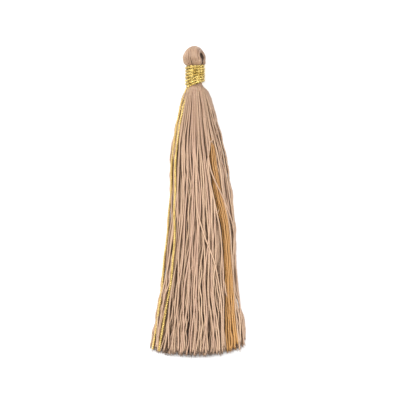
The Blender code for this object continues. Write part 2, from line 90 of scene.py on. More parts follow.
Course = namedtuple("Course", "y gold_outer gold_inner ochre ochre_depth flatness")
COURSES = (
    Course(y=31.5, gold_outer=-2.64, gold_inner=-1.98, ochre=0.25, ochre_depth=0.9, flatness=1.0),
    Course(y=28.6, gold_outer=-2.90, gold_inner=-2.16, ochre=0.35, ochre_depth=1.0, flatness=1.0),
    Course(y=25.6, gold_outer=-3.95, gold_inner=-3.20, ochre=1.60, ochre_depth=1.3, flatness=1.0),
    Course(y=20.8, gold_outer=-4.95, gold_inner=-4.20, ochre=2.60, ochre_depth=1.4, flatness=1.0),
    Course(y=15.4, gold_outer=-6.00, gold_inner=-5.20, ochre=3.27, ochre_depth=0.5, flatness=0.9),
    Course(y=10.5, gold_outer=-6.50, gold_inner=-5.60, ochre=3.83, ochre_depth=0.25, flatness=1.0),
    Course(y=5.4, gold_outer=-6.75, gold_inner=-5.72, ochre=4.48, ochre_depth=0.15, flatness=1.2),
    Course(y=0.3, gold_outer=-7.00, gold_inner=-5.85, ochre=5.50, ochre_depth=0.1, flatness=1.1),
    Course(y=-7.5, gold_outer=-7.70, gold_inner=-5.95, ochre=7.05, ochre_depth=0.1, flatness=1.1),
    Course(y=-12.6, gold_outer=-8.20, gold_inner=-6.05, ochre=7.46, ochre_depth=0.1, flatness=1.0),
    Course(y=-19.0, gold_outer=-8.90, gold_inner=-6.70, ochre=7.90, ochre_depth=0.1, flatness=1.1),
    Course(y=-25.5, gold_outer=-9.50, gold_inner=-7.60, ochre=8.12, ochre_depth=0.1, flatness=1.3),
    Course(y=-33.0, gold_outer=-10.80, gold_inner=-9.10, ochre=8.44, ochre_depth=0.1, flatness=1.8),
    Course(y=-41.0, gold_outer=-11.80, gold_inner=-10.20, ochre=9.10, ochre_depth=0.1, flatness=2.1),
)
print("sections of the skirt:", len(SECTIONS))

# %% [markdown]
# ## Looking values up between the rows
#
# A short table holds only a few rows, and a thread needs a hundred points. A cubic curve through the rows
# gives the values in between with no kink at a row.

# %% Smooth curves through a table
def smooth(values, knots, at):
    """Cubic curve through values at falling knots, read at each of at. Extra axes of values are kept."""
    values = np.asarray(values, float)
    knots = np.asarray(knots, float)
    at = np.clip(np.asarray(at, float), knots.min(), knots.max())
    slope = np.gradient(values, knots, axis=0)
    index = np.clip(np.searchsorted(-knots, -at, side="right") - 1, 0, len(knots) - 2)
    step = knots[index + 1] - knots[index]
    share = (at - knots[index]) / step
    shape = at.shape + (1,) * (values.ndim - 1)
    share, step = share.reshape(shape), step.reshape(shape)
    first, second = values[index], values[index + 1]
    rise, fall = slope[index] * step, slope[index + 1] * step
    return ((1 + 2 * share) * (1 - share) ** 2 * first + share**2 * (3 - 2 * share) * second
            + share * (1 - share) ** 2 * rise + share**2 * (share - 1) * fall)


def ramp(value, start, stop):
    """0 at start, 1 at stop, straight in between and level beyond."""
    return np.clip((value - start) / (stop - start), 0, 1)


SECTION_Y = [section.y for section in SECTIONS]


def course(name, at):
    return smooth([getattr(row, name) for row in COURSES], [row.y for row in COURSES], at)


def section_column(name, at):
    return smooth([getattr(row, name) for row in SECTIONS], SECTION_Y, at)


def hem_line(x):
    return np.interp(x, [point.x for point in HEM], [point.y for point in HEM])


print("width at mid skirt: %.1f mm" % (section_column("right", 0.0) - section_column("left", 0.0)))

# %% [markdown]
# ## Where each thread runs
#
# The threads of a real skirt pack together like pencils in a fist, then spread and sag. Here each
# cross-section is mapped to a round disk, the threads are spread over that disk, and then every pair that
# is too close is pushed apart, in the sections and in the stretches between them.

# %% From a section to the disk and back
def section_frame(section):
    middle = (section.left + section.right) / 2
    half_width = (section.right - section.left) / 2 - section.thick
    low = section.bottom + section.thick
    half_height = (section.top - section.thick - low) / 2
    return middle, half_width, low, half_height


def droop_of(section, across):
    return section.sag * (1 - np.sqrt(np.clip(1 - across**2, 0, 1)))


def from_disk(section, disk):
    middle, half_width, low, half_height = section_frame(section)
    height = low + half_height * (disk[:, 1] + 1 - droop_of(section, disk[:, 0]))
    return np.stack([middle + half_width * disk[:, 0], height], axis=1)


def keep_inside(section, place):
    middle, half_width, low, half_height = section_frame(section)
    across = (place[:, 0] - middle) / half_width
    up = (place[:, 1] - low) / half_height - 1 + droop_of(section, across)
    disk = np.stack([across, up], axis=1)
    reach = np.linalg.norm(disk, axis=1, keepdims=True)
    inside = from_disk(section, disk / np.maximum(reach, 1))
    inside[:, 1] = np.maximum(inside[:, 1], low)
    return np.where(reach > 1, inside, place)


def heap_top(section, x):
    middle, half_width, low, half_height = section_frame(section)
    across = np.clip((x - middle) / half_width, -1, 1)
    return low + half_height * (np.sqrt(1 - across**2) + 1 - droop_of(section, across))


def sunflower(count):
    number = np.arange(count) + 0.5
    reach = np.sqrt(number / count)
    turn = number * math.pi * (3 - math.sqrt(5))
    return np.stack([reach * np.cos(turn), reach * np.sin(turn)], axis=1)


print("height of the heap at mid skirt: %.1f mm" % heap_top(SECTIONS[8], 0.0))

# %% [markdown]
# ## Homes of the threads
#
# Each thread has a home in each section. The ochre threads stay at theirs, as a flat lock in the top
# layer. The homes of the beige threads wander a little from section to section and leave the place of the
# lock free.

# %% Homes in every section
BEIGE_THREADS = 190
OCHRE_THREADS = 11
WANDER = 0.30
FULL_ROOM = 0.29
LOCK_SIZE = 0.24 * math.sqrt(OCHRE_THREADS)
LOCK_CLEARING = 1.15
chance = np.random.default_rng(seed=11)


def homes_of_threads():
    spread = sunflower(BEIGE_THREADS)
    drift = chance.normal(0, 1, (3, BEIGE_THREADS, 2))
    bundle = sunflower(OCHRE_THREADS)
    homes = []
    for number, section in enumerate(SECTIONS):
        along = number / (len(SECTIONS) - 1)
        swing = [math.sin(math.pi * part * along) * WANDER for part in (1, 2, 3)]
        beige = from_disk(section, spread) + sum(s * d for s, d in zip(swing, drift))
        centre = np.array([float(course("ochre", section.y)), 0.0])
        centre[1] = heap_top(section, centre[0]) - float(course("ochre_depth", section.y))
        size = LOCK_SIZE * section.room / FULL_ROOM
        flatness = float(course("flatness", section.y))
        shape = size * np.array([flatness, 1 / flatness])
        away = (beige - centre) / shape
        reach = np.linalg.norm(away, axis=1, keepdims=True)
        beige = centre + away * shape * np.sqrt(reach**2 + LOCK_CLEARING**2) / reach
        homes.append(np.concatenate([keep_inside(section, beige), centre + bundle * shape]))
    return np.array(homes)


homes = homes_of_threads()
print("homes of threads:", homes.shape[1], "in", len(homes), "sections")

# %% [markdown]
# ## Settling
#
# Blender could settle the threads as a cloth or hair simulation, which is slow and hard to steer. A few
# lines of numpy do as well: a pair that is too close is pushed apart, a thread that bends sharply is
# drawn straight, and a beige thread that would hide the ochre lock sinks until it runs under it.

# %% Settling the threads
SETTLE_STEPS = 170
PUSH = 0.35
PAIR_ROOM = 1.96
HOMING = 0.02
HOMING_FADE = 1.4
STIFFNESS = 0.06
LOCK_SHOWS_BELOW = 15.5
LOCK_MARGIN = 0.15
LOCK_COVER = 0.5
SINK_STEP = 0.10
FAR_APART = 99


def meetings(place):
    """Where threads come closest: in each section, and between each section and the next."""
    last = len(SECTIONS) - 1
    for number in range(last + 1):
        start = place[number][:, None] - place[number][None]
        yield number, number, np.zeros(start.shape[:2]), start
        if number < last:
            travel = place[number + 1][:, None] - place[number + 1][None] - start
            length = (travel**2).sum(-1)
            share = np.clip(-(start * travel).sum(-1) / np.maximum(length, 1e-9), 0, 1)
            yield number, number + 1, share, start + share[..., None] * travel


def lock_at(y):
    """Middle and half width of the strip that the ochre lock fills in the top layer."""
    return course("ochre", y), LOCK_SIZE * course("flatness", y) + LOCK_MARGIN


def uncover_lock(place):
    """Lets the beige threads over the ochre lock sink, until they run under it."""
    for number, section in enumerate(SECTIONS):
        if section.y < LOCK_SHOWS_BELOW:
            middle, half = lock_at(section.y)
            row = place[number, :BEIGE_THREADS]
            lock_height = place[number, BEIGE_THREADS:, 1].mean()
            over = (np.abs(row[:, 0] - middle) < half) & (row[:, 1] > lock_height - LOCK_COVER)
            row[over, 1] -= SINK_STEP


def straight(place):
    """What each thread would have in a section if it ran straight from the one above to the one below."""
    y = np.array(SECTION_Y)
    share = ((y[1:-1] - y[:-2]) / (y[2:] - y[:-2]))[:, None, None]
    return place[:-2] * (1 - share) + place[2:] * share


def settle(homes):
    beige = (np.arange(homes.shape[1]) < BEIGE_THREADS).astype(float)
    yields = (beige[:, None] * (2 - beige[None]))[..., None]
    place = homes.copy()
    for step in range(SETTLE_STEPS):
        shift = np.zeros_like(place)
        for number, following, share, way in meetings(place):
            distance = np.sqrt((way**2).sum(-1)) + np.eye(len(way)) * FAR_APART
            need = PAIR_ROOM * ((1 - share) * SECTIONS[number].room + share * SECTIONS[following].room)
            push = 0.5 * np.clip(need - distance, 0, None) / np.maximum(distance, 1e-6)
            push = yields * way * push[..., None]
            shift[number] += ((1 - share)[..., None] * push).sum(1)
            shift[following] += (share[..., None] * push).sum(1)
        place += PUSH * shift + HOMING * max(0, 1 - HOMING_FADE * step / SETTLE_STEPS) * (homes - place)
        moved = place - homes
        place[1:-1, :BEIGE_THREADS] += STIFFNESS * (straight(moved) - moved[1:-1])[:, :BEIGE_THREADS]
        uncover_lock(place)
        for number, section in enumerate(SECTIONS):
            place[number, :BEIGE_THREADS] = keep_inside(section, place[number, :BEIGE_THREADS])
    return place


thread_place = settle(homes)
print("threads settled, the farthest from home by: %.1f mm" % np.abs(thread_place - homes).max())

# %% [markdown]
# ## From a path to a tube
#
# A thread could be a Curve object with a round bevel. A mesh tube made from arrays is used instead,
# because a hundred threads then become one piece, and each corner of each face can carry three numbers
# for the material: how far round the thread it is, how far along, and the thread's own shade.

# %% Tubes
def unit(vectors):
    return vectors / np.maximum(np.linalg.norm(vectors, axis=-1, keepdims=True), 1e-12)


def frames_of(paths, side):
    """Tangent and two directions across each path. side points roughly along the first of them."""
    tangent = unit(np.gradient(paths, axis=1))
    first = unit(side - (side * tangent).sum(-1, keepdims=True) * tangent)
    return tangent, first, np.cross(tangent, first)


def tube_arrays(paths, radius, side, sides, oval=0.0, turn=None):
    """Points and faces of tubes along paths. oval flattens the tubes, and turn rotates the oval."""
    count, steps, _ = paths.shape
    _, first, second = frames_of(paths, side)
    around = np.arange(sides) / sides * 2 * math.pi
    rolled = around[None, None] - (0 if turn is None else turn[..., None])
    reach = radius[..., None] * (1 - oval * np.sin(rolled) ** 2)
    ring = np.cos(around)[:, None] * first[:, :, None] + np.sin(around)[:, None] * second[:, :, None]
    points = (paths[:, :, None] + reach[..., None] * ring).reshape(-1, 3)
    thread, step, corner = np.indices((count, steps - 1, sides))
    following = (corner + 1) % sides
    base = (thread * steps + step) * sides
    quads = np.stack([base + corner, base + following, base + sides + following, base + sides + corner], -1)
    stretches = np.linalg.norm(np.diff(paths, axis=1), axis=-1)
    length = np.concatenate([np.zeros((count, 1)), np.cumsum(stretches, axis=1)], axis=1)
    near, far = length[thread, step], length[thread, step + 1]
    about = np.stack([corner, corner + 1, corner + 1, corner], -1) / sides
    way = np.stack([near, near, far, far], -1)
    return points, quads.reshape(-1, 4), about.reshape(-1, 4), way.reshape(-1, 4), thread.reshape(-1)


def new_piece(name, points, faces, places):
    """A smooth mesh object on the one body. places holds three numbers for each corner of a face."""
    mesh = bpy.data.meshes.new(name)
    mesh.from_pydata((np.asarray(points) * MM).tolist(), [], faces)
    place = mesh.attributes.new("place", "FLOAT_VECTOR", "CORNER")
    place.data.foreach_set("vector", np.asarray(places, np.float32).ravel())
    mesh.polygons.foreach_set("use_smooth", np.ones(len(mesh.polygons), bool))
    mesh.update()
    piece = bpy.data.objects.new(name, mesh)
    bpy.context.scene.collection.objects.link(piece)
    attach(piece, root)
    print(name, "triangles:", sum(len(face.vertices) - 2 for face in mesh.polygons))
    return piece


CREST = 0.25


def tube_piece(name, parts, tones, oval=0.0):
    """One mesh object of several groups of tubes. parts holds (paths, radius, side, sides, turn)."""
    points, quads, caps, places, cap_places = [], [], [], [], []
    offset, tone_offset = 0, 0
    for paths, radius, side, sides, turn in parts:
        rings, faces, about, way, thread = tube_arrays(paths, radius, side, sides, oval, turn)
        tone = tones[tone_offset + thread]
        places.append(np.stack([about, way, np.repeat(tone[:, None], 4, 1)], -1).reshape(-1, 3))
        points.append(rings)
        quads.append(faces + offset)
        count, steps = paths.shape[:2]
        lengths = way.reshape(count, -1).max(axis=1)
        for number in range(count):
            start = offset + number * steps * sides
            end = start + (steps - 1) * sides
            caps += [list(range(start, start + sides))[::-1], list(range(end, end + sides))]
            for length in (0.0, lengths[number]):
                cap_places.append(np.tile([CREST, length, tones[tone_offset + number]], (sides, 1)))
        offset += len(rings)
        tone_offset += count
    faces = np.concatenate(quads).tolist() + caps
    return new_piece(name, np.concatenate(points), faces, np.concatenate(places + cap_places))


# %% [markdown]
# ## The silk of the skirt
#
# Cut silk is never straight: each thread keeps a slight wave from the spool. The waves of two neighbours
# differ, so they open long, thin, dark slits and close them again. A few threads lie loose on top of the
# others. They are laid down one after another, each on whatever is under it.

# %% Paths of the settled threads
THREAD_STEPS = 112
ROOT_Y = 31.2
HEM_UNEVENNESS = 1.4
WAVE = 0.17
WAVE_LENGTHS = (5.0, 8.0, 14.0)
WAVE_SUM = 2.2
WAVE_UPWARD = 0.6
WAVE_OF_LOCK = 0.5
NECK_Y, FREE_Y = 29.0, 21.0
FLARE_Y, FLARE_END_Y, FLARE = -24.0, -38.0, 0.8
SKIN_DEPTH = 0.75


def wave_of(count, length):
    """A slight wave for each of count threads, read at length, in millimetres."""
    total = 0
    for scale in WAVE_LENGTHS:
        phase = chance.random((2, count, 1)) * 2 * math.pi
        wavelength = scale * (0.8 + 0.5 * chance.random((2, count, 1)))
        strength = 0.5 + chance.random((2, count, 1))
        total = total + np.sin(2 * math.pi * length / wavelength + phase) * strength
    return total / WAVE_SUM


count = thread_place.shape[1]
hem_y = hem_line(thread_place[-1, :, 0]) + chance.random(count) ** 1.5 * HEM_UNEVENNESS
share = np.linspace(0, 1, THREAD_STEPS)
thread_y = ROOT_Y + (hem_y[:, None] - ROOT_Y) * share
paths = np.empty((count, THREAD_STEPS, 3))
for number in range(count):
    place = smooth(thread_place[:, number], SECTION_Y, thread_y[number])
    paths[number] = np.stack([place[:, 0], thread_y[number], place[:, 1]], axis=1)
thick = section_column("thick", thread_y)
free = ramp(thread_y, NECK_Y, FREE_Y)
near_hem = ramp(thread_y, FLARE_Y, FLARE_END_Y)
wave = wave_of(count, ROOT_Y - thread_y) * WAVE * free * (1 + FLARE * near_hem)
wave[:, BEIGE_THREADS:] *= WAVE_OF_LOCK
paths[..., 0] += wave[0]
paths[..., 2] = np.maximum(paths[..., 2] + WAVE_UPWARD * wave[1], thick)
beige_paths, ochre_paths = paths[:BEIGE_THREADS], paths[BEIGE_THREADS:]


def depth_of(path):
    """How far a path lies under the skin of the heap, at its nearest."""
    depths = []
    for section in SECTIONS[3:]:
        middle, half_width, low, half_height = section_frame(section)
        x, z = (float(smooth(path[:, k], path[:, 1], section.y)) for k in (0, 2))
        across = (x - middle) / half_width
        up = (z - low) / half_height - 1 + droop_of(section, across)
        depths.append((1 - math.hypot(across, up)) * half_height)
    return min(depths)


depth = np.array([depth_of(path) for path in beige_paths])
outer_threads = depth < SKIN_DEPTH
print("threads at the skin of the heap:", int(outer_threads.sum()))
print("longest thread: %.1f mm" % np.linalg.norm(np.diff(paths, axis=1), axis=-1).sum(1).max())

# %% [markdown]
# ## Laying a thread on the heap
#
# A loose thread follows a path that is chosen from above, and its height comes from what it lies on: it
# is as high as the highest thread under it, evened out along its length, since a thread can't drop into
# every slit.

# %% Laying a thread
SILK_SMOOTHING = 19
GOLD_SMOOTHING = 45
REST_ROOM = 1.8
REST_REACH = 3
laid = list(paths)


def top_of_heap(x, y):
    """Height of the skin of the heap over each point of a path."""
    tops = np.array([heap_top(section, x) for section in SECTIONS])
    return np.array([float(smooth(tops[:, k], SECTION_Y, y[k])) for k in range(len(y))])


def evened(height, smoothing):
    kernel = np.hanning(smoothing) / np.hanning(smoothing).sum()
    return np.convolve(np.pad(height, smoothing // 2, mode="edge"), kernel, mode="valid")


def rest_on_others(x, y, radius):
    """Height of a thread that follows x and y and rests on all that is laid already."""
    height = np.zeros(len(x))
    room = radius * REST_ROOM
    for other in laid:
        other_x = np.interp(-y, -other[:, 1], other[:, 0])
        other_z = np.interp(-y, -other[:, 1], other[:, 2])
        rise = np.sqrt(np.clip(room**2 - (x - other_x) ** 2, 0, None))
        height = np.maximum(height, np.where(np.abs(x - other_x) < room, other_z + rise, 0))
    wide = np.pad(height, REST_REACH, mode="edge")
    return np.max([wide[k:k + len(height)] for k in range(2 * REST_REACH + 1)], axis=0)


def lay_thread(x, y, sink, most, smoothing=SILK_SMOOTHING):
    """Lays a thread, sunk a little into what is under it. Gold is stiffer, so it is evened out twice."""
    thick_here = section_column("thick", y)
    middle = (section_column("left", y) + section_column("right", y)) / 2
    half = (section_column("right", y) - section_column("left", y)) / 2 - thick_here
    x = middle + np.clip(x - middle, -half, half)
    height = evened(rest_on_others(x, y, float(np.mean(thick_here))), smoothing)
    z = np.minimum(height - sink, top_of_heap(x, y) + most)
    if smoothing == GOLD_SMOOTHING:
        z = evened(z, smoothing)
    path = np.stack([x, y, np.maximum(z, thick_here)], axis=1)
    laid.append(path)
    return path


print("threads to lie on:", len(laid))

# %% [markdown]
# ## Loose threads
#
# On the real tassel a few threads always lie across the others and catch the light. They could be combed
# by hand as hair curves. Here each one starts at its own place at the neck, sways gently on its way to
# the hem and keeps beside the ochre lock.

# %% Loose threads
LOOSE_THREADS = 28
LOOSE_ROOT_Y = ROOT_Y - 1.6
LOOSE_SPAN = 0.92
LOOSE_STEP = 0.618
LOOSE_SINK = 0.16
MOST_ABOVE = 0.45
SKIRT_LENGTH = 71
HALF_HEM = 12.4
LOCK_GAP, LOCK_RUN = 0.25, 5
LOWER_SKIRT_Y = 5
LOOSE_INSET = 0.3
LONG_SWING, LONG_WAVES = 0.055, 1.5
SHORT_SWING, SHORT_WAVES = 0.028, 6
START_SPAN = 0.85
SPAN_LIMIT = 0.97


def beside_lock(x, y):
    """Moves a path sideways where it would cover the ochre lock."""
    middle, half = lock_at(y)
    side = 1.0 if np.mean((x - middle)[y < LOWER_SKIRT_Y]) > 0 else -1.0
    need = (half + LOCK_GAP) * ramp(y, LOCK_SHOWS_BELOW, LOCK_SHOWS_BELOW - LOCK_RUN)
    return np.where(y < LOCK_SHOWS_BELOW, middle + side * np.maximum(side * (x - middle), need), x)


loose_paths = []
for number in range(LOOSE_THREADS):
    at_hem = -LOOSE_SPAN + 2 * LOOSE_SPAN * (number * LOOSE_STEP % 1) + chance.normal(0, 0.02)
    end = float(hem_line(HALF_HEM * at_hem)) + chance.random() * HEM_UNEVENNESS
    y = LOOSE_ROOT_Y + (end - LOOSE_ROOT_Y) * share
    middle = (section_column("left", y) + section_column("right", y)) / 2
    half = (section_column("right", y) - section_column("left", y)) / 2 - LOOSE_INSET
    along = (ROOT_Y - y) / SKIRT_LENGTH
    swing = LONG_SWING * np.sin(math.pi * (LONG_WAVES * along + chance.random() * 2))
    swing = swing + SHORT_SWING * np.sin(math.pi * (SHORT_WAVES * along + chance.random() * 2))
    start_x = at_hem * START_SPAN
    disk_x = start_x + (at_hem - start_x) * np.clip(along * 1.6, 0, 1) + swing * np.clip(along * 4, 0, 1)
    x = beside_lock(middle + half * np.clip(disk_x, -SPAN_LIMIT, SPAN_LIMIT), y)
    loose_paths.append(lay_thread(x, y, LOOSE_SINK, MOST_ABOVE))
loose_paths = np.array(loose_paths)
print("loose threads:", len(loose_paths))

# %% [markdown]
# ## The gold ends and two crossing threads
#
# The two ends of the gold thread run down the left of the skirt, as the table of courses has them. One
# silk thread crosses over the ochre lock, and another runs from the middle of the skirt to the lock's
# left side.

# %% The gold ends
GOLD_ROOT_Y = 29.9
GOLD_SWAY, GOLD_SWAY_RUN = 0.10, 1.9
SWAY_STARTS_Y = 27
GOLD_SINK = 0.10
GOLD_ABOVE_HEM = 0.2


def gold_end(name, end_x):
    end = float(hem_line(end_x)) + GOLD_ABOVE_HEM
    y = GOLD_ROOT_Y + (end - GOLD_ROOT_Y) * share
    sway = GOLD_SWAY * np.sin((GOLD_ROOT_Y - y) / GOLD_SWAY_RUN) * ramp(y, SWAY_STARTS_Y, FREE_Y)
    return lay_thread(course(name, y) + sway, y, GOLD_SINK, MOST_ABOVE, GOLD_SMOOTHING)


gold_paths = np.array([gold_end("gold_inner", -10.0), gold_end("gold_outer", -11.6)])
print("gold ends: %.1f mm long" % np.linalg.norm(np.diff(gold_paths, axis=1), axis=-1).sum(1).max())

# %% The crossing threads
Knot = namedtuple("Knot", "y x")
OVER_THE_LOCK = (Knot(30, 0.6), Knot(22, 1.9), Knot(14, 2.5), Knot(8, 3.4), Knot(0, 6.9), Knot(-6, 9.0),
                 Knot(-14, 9.6), Knot(-39, 12.2))
LEFT_OF_THE_LOCK = (Knot(30, -0.3), Knot(18, 0.2), Knot(6, -0.2), Knot(-3, 0.1), Knot(-9, 1.8),
                    Knot(-15, 4.1), Knot(-22, 5.6), Knot(-39, 6.4))
CROSSING_SINK, CROSSING_ABOVE = 0.10, 0.6
CROSSING_ABOVE_HEM = 0.3


def crossing_path(knots):
    end = float(hem_line(knots[-1].x)) + CROSSING_ABOVE_HEM
    y = LOOSE_ROOT_Y + (end - LOOSE_ROOT_Y) * share
    x = smooth([knot.x for knot in knots], [knot.y for knot in knots], y)
    return lay_thread(x, y, CROSSING_SINK, CROSSING_ABOVE)


crossing_paths = np.array([crossing_path(OVER_THE_LOCK), crossing_path(LEFT_OF_THE_LOCK)])
print("crossing threads:", len(crossing_paths))

# %% [markdown]
# ## Building the silk
#
# Silk thread is two plies laid round each other, so its outline swells and narrows a little as the plies
# turn. The tubes are slightly oval and the oval turns along them. The finer twist is left to the
# material's bump. Each thread gets a tone of its own. At the two edges of the skirt the tone is pale,
# which is painted light, and inside the heap it is below zero, which is painted shade.

# %% Silk pieces
SILK_OVAL = 0.16
PLY_TURN = 3.4
ROUND = 6.28
THINNEST, THICKNESS_SPREAD = 0.90, 0.20
FULLNESS = 1.06
SIDEWAYS = np.array([1.0, 0.0, 0.0])


def silk_part(paths, sides=7, step=1):
    paths = paths[:, ::step]
    radius = section_column("thick", paths[..., 1])
    radius = radius * (THINNEST + THICKNESS_SPREAD * chance.random((len(paths), 1))) * FULLNESS
    run = ROOT_Y - paths[..., 1]
    turn = 2 * math.pi * run / PLY_TURN + chance.random((len(paths), 1)) * ROUND
    height = np.maximum(paths[..., 2], radius + 0.01)
    return np.stack([paths[..., 0], paths[..., 1], height], axis=-1), radius, SIDEWAYS, sides, turn


def tones(count, low=0.0, high=1.0):
    return low + (high - low) * chance.random(count)


EDGE_STARTS, EDGE_STRENGTH, EDGE_LIGHT_TONE = 0.72, 2.2, 1.1
EDGE_X = 12.0
# Threads inside the heap get tones below zero, which mix in painted shade.
INNER_SHADE_TONES = (-0.95, -0.25)
TOP_TONES = (0.3, 1.0)
outer, inner = beige_paths[outer_threads], beige_paths[~outer_threads]
half = len(outer) // 2
# Painted light: threads at the left and right edges of the skirt get a paler tone.
edge = np.clip(np.abs(outer[:, -1, 0]) / EDGE_X - EDGE_STARTS, 0, 1) * EDGE_STRENGTH
outer_tones = tones(len(outer)) * (1 - edge) + EDGE_LIGHT_TONE * edge
skirt_threads = [
    tube_piece("skirt_threads_1", [silk_part(outer[:half])], outer_tones[:half], SILK_OVAL),
    tube_piece("skirt_threads_2", [silk_part(outer[half:])], outer_tones[half:], SILK_OVAL),
    tube_piece("skirt_threads_inner", [silk_part(inner, 6, 3)], tones(len(inner), *INNER_SHADE_TONES), SILK_OVAL),
]
top_paths = np.concatenate([loose_paths, crossing_paths])
loose_tones = tones(len(top_paths), *TOP_TONES)
skirt_threads.append(tube_piece("loose_threads", [silk_part(top_paths)], loose_tones, SILK_OVAL))
ochre_threads = tube_piece("ochre_threads", [silk_part(ochre_paths)], tones(OCHRE_THREADS), SILK_OVAL)
for piece in skirt_threads:
    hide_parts("skirt")
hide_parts("ochre_lock")

# %% [markdown]
# ## Frayed ends
#
# Scissors leave each thread with a tiny brush of fibres. A texture could only paint them. Thin cones with a
# little curl break up the outline of the hem as well.

# %% Fibres at the hem
FIBRES_A_THREAD = 7
FIBRE_POINTS = 5
FIBRE_RADIUS = 0.065
FIBRE_TAPER = 0.75
FIBRE_OVERLAP = 0.25
SHORTEST, LENGTH_SPREAD = 0.40, 0.70
FIBRE_CURL = 0.16
FIBRE_SCATTER = np.array([0.10, 0.02, 0.10])
FIBRE_SPLAY = 0.22
FIBRE_FLOOR = 0.07


def fibres_at(paths, number_each):
    tips = np.repeat(paths[:, -1], number_each, axis=0)
    heading = np.repeat(unit(paths[:, -1] - paths[:, -4]), number_each, axis=0)
    total = len(tips)
    scatter = chance.normal(0, 1, (total, 3))
    start = tips - heading * FIBRE_OVERLAP + scatter * FIBRE_SCATTER
    direction = unit(heading + scatter * FIBRE_SPLAY)
    curl = chance.normal(0, FIBRE_CURL, (total, 3))
    length = SHORTEST + LENGTH_SPREAD * chance.random(total)
    steps = np.linspace(0, 1, FIBRE_POINTS)[None, :, None]
    fibres = start[:, None] + direction[:, None] * steps * length[:, None, None] + curl[:, None] * steps**2
    fibres[..., 2] = np.maximum(fibres[..., 2], FIBRE_FLOOR)
    radius = FIBRE_RADIUS * (1 - FIBRE_TAPER * np.linspace(0, 1, FIBRE_POINTS))[None] * np.ones((total, 1))
    return fibres, radius, SIDEWAYS, 3, None


fray_beige = fibres_at(np.concatenate([outer, top_paths]), FIBRES_A_THREAD)
skirt_fray = tube_piece("skirt_fray", [fray_beige], tones(len(fray_beige[0]), *TOP_TONES))
fray_ochre = fibres_at(ochre_paths, FIBRES_A_THREAD)
ochre_fray = tube_piece("ochre_fray", [fray_ochre], tones(len(fray_ochre[0]), *TOP_TONES))

# %% [markdown]
# ## The fold of the hank
#
# Above the binding the same threads go up in front, over the top and down behind. The fold is seen a
# little from its side, so a small eye shows at the right between its two halves. Each thread follows the
# middle line of the fold at its own distance from it.

# %% Head threads
BINDING_TOP = 34.98
BAND_HALF_WIDTH = 2.64
BAND_HALF_THICKNESS = 0.92
BAND_CROWN = 1.15
BAND_TURN = math.radians(28)
BAND_SHIFT_X = -0.15
BAND_LIFT = 0.35
HEAD_THREADS = 36
HEAD_THREAD_RADIUS = 0.255
HEAD_STEPS = 84
CREASE_ANGLE = math.radians(24)
CREASE_DEPTH, CREASE_WIDTH = 0.45, 0.16
TOP_GATHER = 0.26
HEAD_INSET = 0.9
ROUND_ACROSS, ROUND_THROUGH = 0.85, 0.7
HEAD_SWAY = 0.05
HEAD_TWIST = 10
EYE_SIDE, EYE_SHADE_TONE = -0.40, -1.0
HEAD_TONES = (0.8, 1.5)
CROWN_FROM, CREASE_FROM, GATHER_FROM = 1.0, 0.9, 1.2
CREASE_FULL, TOP_FULL = 2.1, 4.0

BandPoint = namedtuple("BandPoint", "off_axis height size")
BAND_LEG = (
    BandPoint(off_axis=0.60, height=-0.90, size=0.55),
    BandPoint(off_axis=0.70, height=-0.02, size=0.73),
    BandPoint(off_axis=0.84, height=0.38, size=0.93),
    BandPoint(off_axis=1.06, height=1.30, size=0.99),
    BandPoint(off_axis=1.50, height=2.40, size=1.00),
)
BAND_TOP_RISE = 1.62
BAND_TOP_GAP = 0.05
TOP_POINTS = 9


def fold_line(steps):
    """Middle line of the fold as rows of (off the axis, height, size), evenly spaced."""
    leg = np.array([tuple(point) for point in BAND_LEG])
    angle = math.pi * np.arange(1, TOP_POINTS + 1) / (TOP_POINTS + 1)
    height = leg[-1, 1] + BAND_TOP_GAP + BAND_TOP_RISE * np.sin(angle)
    over = np.stack([leg[-1, 0] * np.cos(angle), height, np.ones(TOP_POINTS)], axis=1)
    rows = np.concatenate([leg, over, leg[::-1] * np.array([-1, 1, 1])])
    length = np.concatenate([[0], np.cumsum(np.linalg.norm(np.diff(rows[:, :2], axis=0), axis=1))])
    return smooth(rows[::-1], length[::-1], np.linspace(0, length[-1], steps))


def lay_down(through, y, across):
    """Turns the upright fold about the tassel's axis and drops its outer threads at the top."""
    top = ramp(y - BINDING_TOP, CROWN_FROM, TOP_FULL)
    out = np.clip(y - BINDING_TOP, 0, 1)
    c, s = math.cos(BAND_TURN), math.sin(BAND_TURN)
    x = AXIS_X + BAND_SHIFT_X * out + across * c - through * s
    z = AXIS_Z + BAND_LIFT * out + across * s + through * c
    return np.stack([x, y - BAND_CROWN * top * (across / BAND_HALF_WIDTH) ** 2, z], axis=-1)


line = fold_line(HEAD_STEPS)
heading = unit(np.gradient(line[:, :2], axis=0))
outward = np.stack([heading[:, 1], -heading[:, 0]], axis=1)
angles = 2 * math.pi * (np.arange(HEAD_THREADS) + 0.5) / HEAD_THREADS
inset = HEAD_THREAD_RADIUS * HEAD_INSET
rise = ramp(line[:, 1], GATHER_FROM, TOP_FULL)
head_paths = []
for angle in angles:
    across = (BAND_HALF_WIDTH - inset) * np.sign(np.cos(angle)) * abs(np.cos(angle)) ** ROUND_ACROSS
    through = (BAND_HALF_THICKNESS - inset) * np.sign(np.sin(angle)) * abs(np.sin(angle)) ** ROUND_THROUGH
    crease = CREASE_DEPTH * math.exp(-((angle - CREASE_ANGLE) / CREASE_WIDTH) ** 2)
    through = through - crease * ramp(line[:, 1], CREASE_FROM, CREASE_FULL)
    waves = 5 + 6 * chance.random()
    sway = HEAD_SWAY * np.sin(np.linspace(0, 1, HEAD_STEPS) * waves + ROUND * chance.random())
    at = line[:, :2] + outward * (through * line[:, 2])[:, None]
    gathered = across * line[:, 2] * (1 - TOP_GATHER * rise**1.5) + sway
    head_paths.append(lay_down(at[:, 0], BINDING_TOP + at[:, 1], gathered))
head_paths = np.array(head_paths)
head_radius = HEAD_THREAD_RADIUS * np.clip(line[:, 2], 0.6, 1)[None] * np.ones((HEAD_THREADS, 1))
across_eye = np.array([math.cos(BAND_TURN), 0.0, math.sin(BAND_TURN)])
